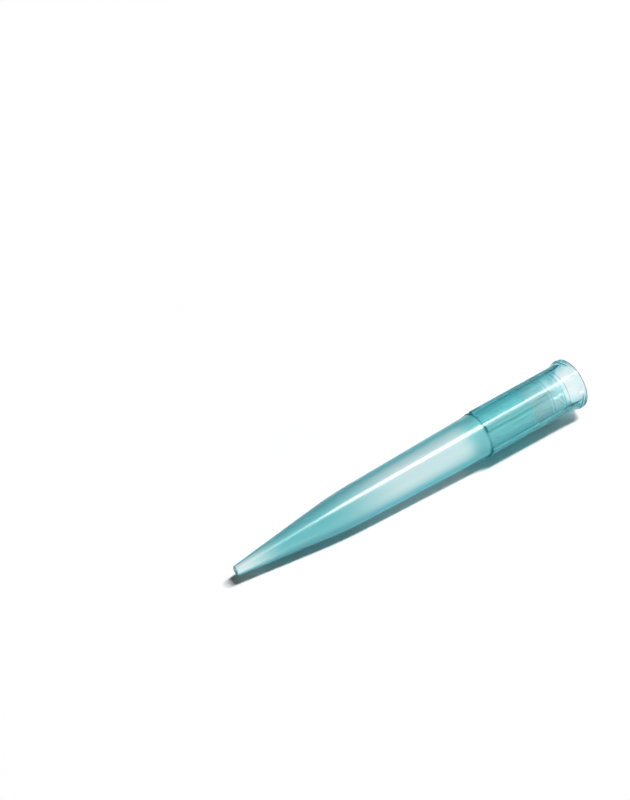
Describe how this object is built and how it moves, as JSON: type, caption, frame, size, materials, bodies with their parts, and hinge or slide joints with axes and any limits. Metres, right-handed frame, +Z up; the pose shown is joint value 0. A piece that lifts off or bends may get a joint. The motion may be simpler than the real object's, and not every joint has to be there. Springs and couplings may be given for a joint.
{
  "type": "pipette tip",
  "caption": "Long translucent pipette tip: a slender cone and a near-straight body, with a ribbed collar, a flared rim and a stepped socket that seals on a pipette nozzle.",
  "frame": {"origin": "on the plane that the tip lies on, under the middle of its bounding box", "axes": "+X along the tip from the drawn end to the mouth, level; +Z up, away from the plane that it lies on"},
  "size_m": [0.0662, 0.009, 0.009],
  "materials": {
    "tinted_polypropylene": "translucent teal polypropylene, satin on the body and glossy on the collar"
  },
  "bodies": {
    "root": {"pipette_tip": "tinted_polypropylene"}
  },
  "joints": []
}
